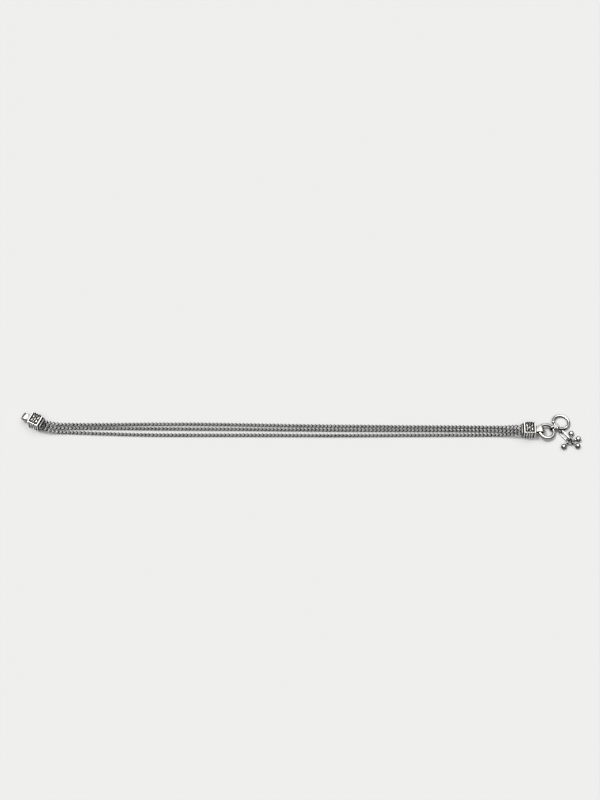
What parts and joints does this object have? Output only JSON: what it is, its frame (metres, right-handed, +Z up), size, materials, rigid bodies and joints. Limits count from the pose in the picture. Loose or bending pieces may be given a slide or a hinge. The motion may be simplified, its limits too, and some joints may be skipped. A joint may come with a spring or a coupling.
{
  "type": "layered anklet",
  "caption": "Fine foxtail chains side by side between square cast end caps, with a jump ring, an open ring hook under a rosette, and a drop of small round bells.",
  "frame": {"origin": "on the surface it lies on, under the middle of the anklet's box", "axes": "+X along the straightened chains from the plain end cap to the hook and bells, +Y away from the viewer, +Z up from the surface"},
  "size_m": [0.2648, 0.0188, 0.0059],
  "materials": {
    "polished_silver": "polished silver, darkened in the hollows",
    "silver_chain": "fine woven silver wire, worn bright on the outside",
    "oxidised_silver": "cast silver with oxidised grounds and rubbed high spots"
  },
  "bodies": {
    "root": {"left_end_cap": "oxidised_silver", "right_end_cap": "oxidised_silver", "strand_back": "silver_chain", "strand_middle": "silver_chain", "strand_front": "silver_chain", "jump_ring": "polished_silver", "clasp_hook": "polished_silver", "drop_link": "polished_silver", "cluster_ring": "polished_silver", "bell_front_left": "polished_silver", "bell_front_right": "polished_silver", "bell_right": "polished_silver", "bell_back": "polished_silver"}
  },
  "joints": []
}
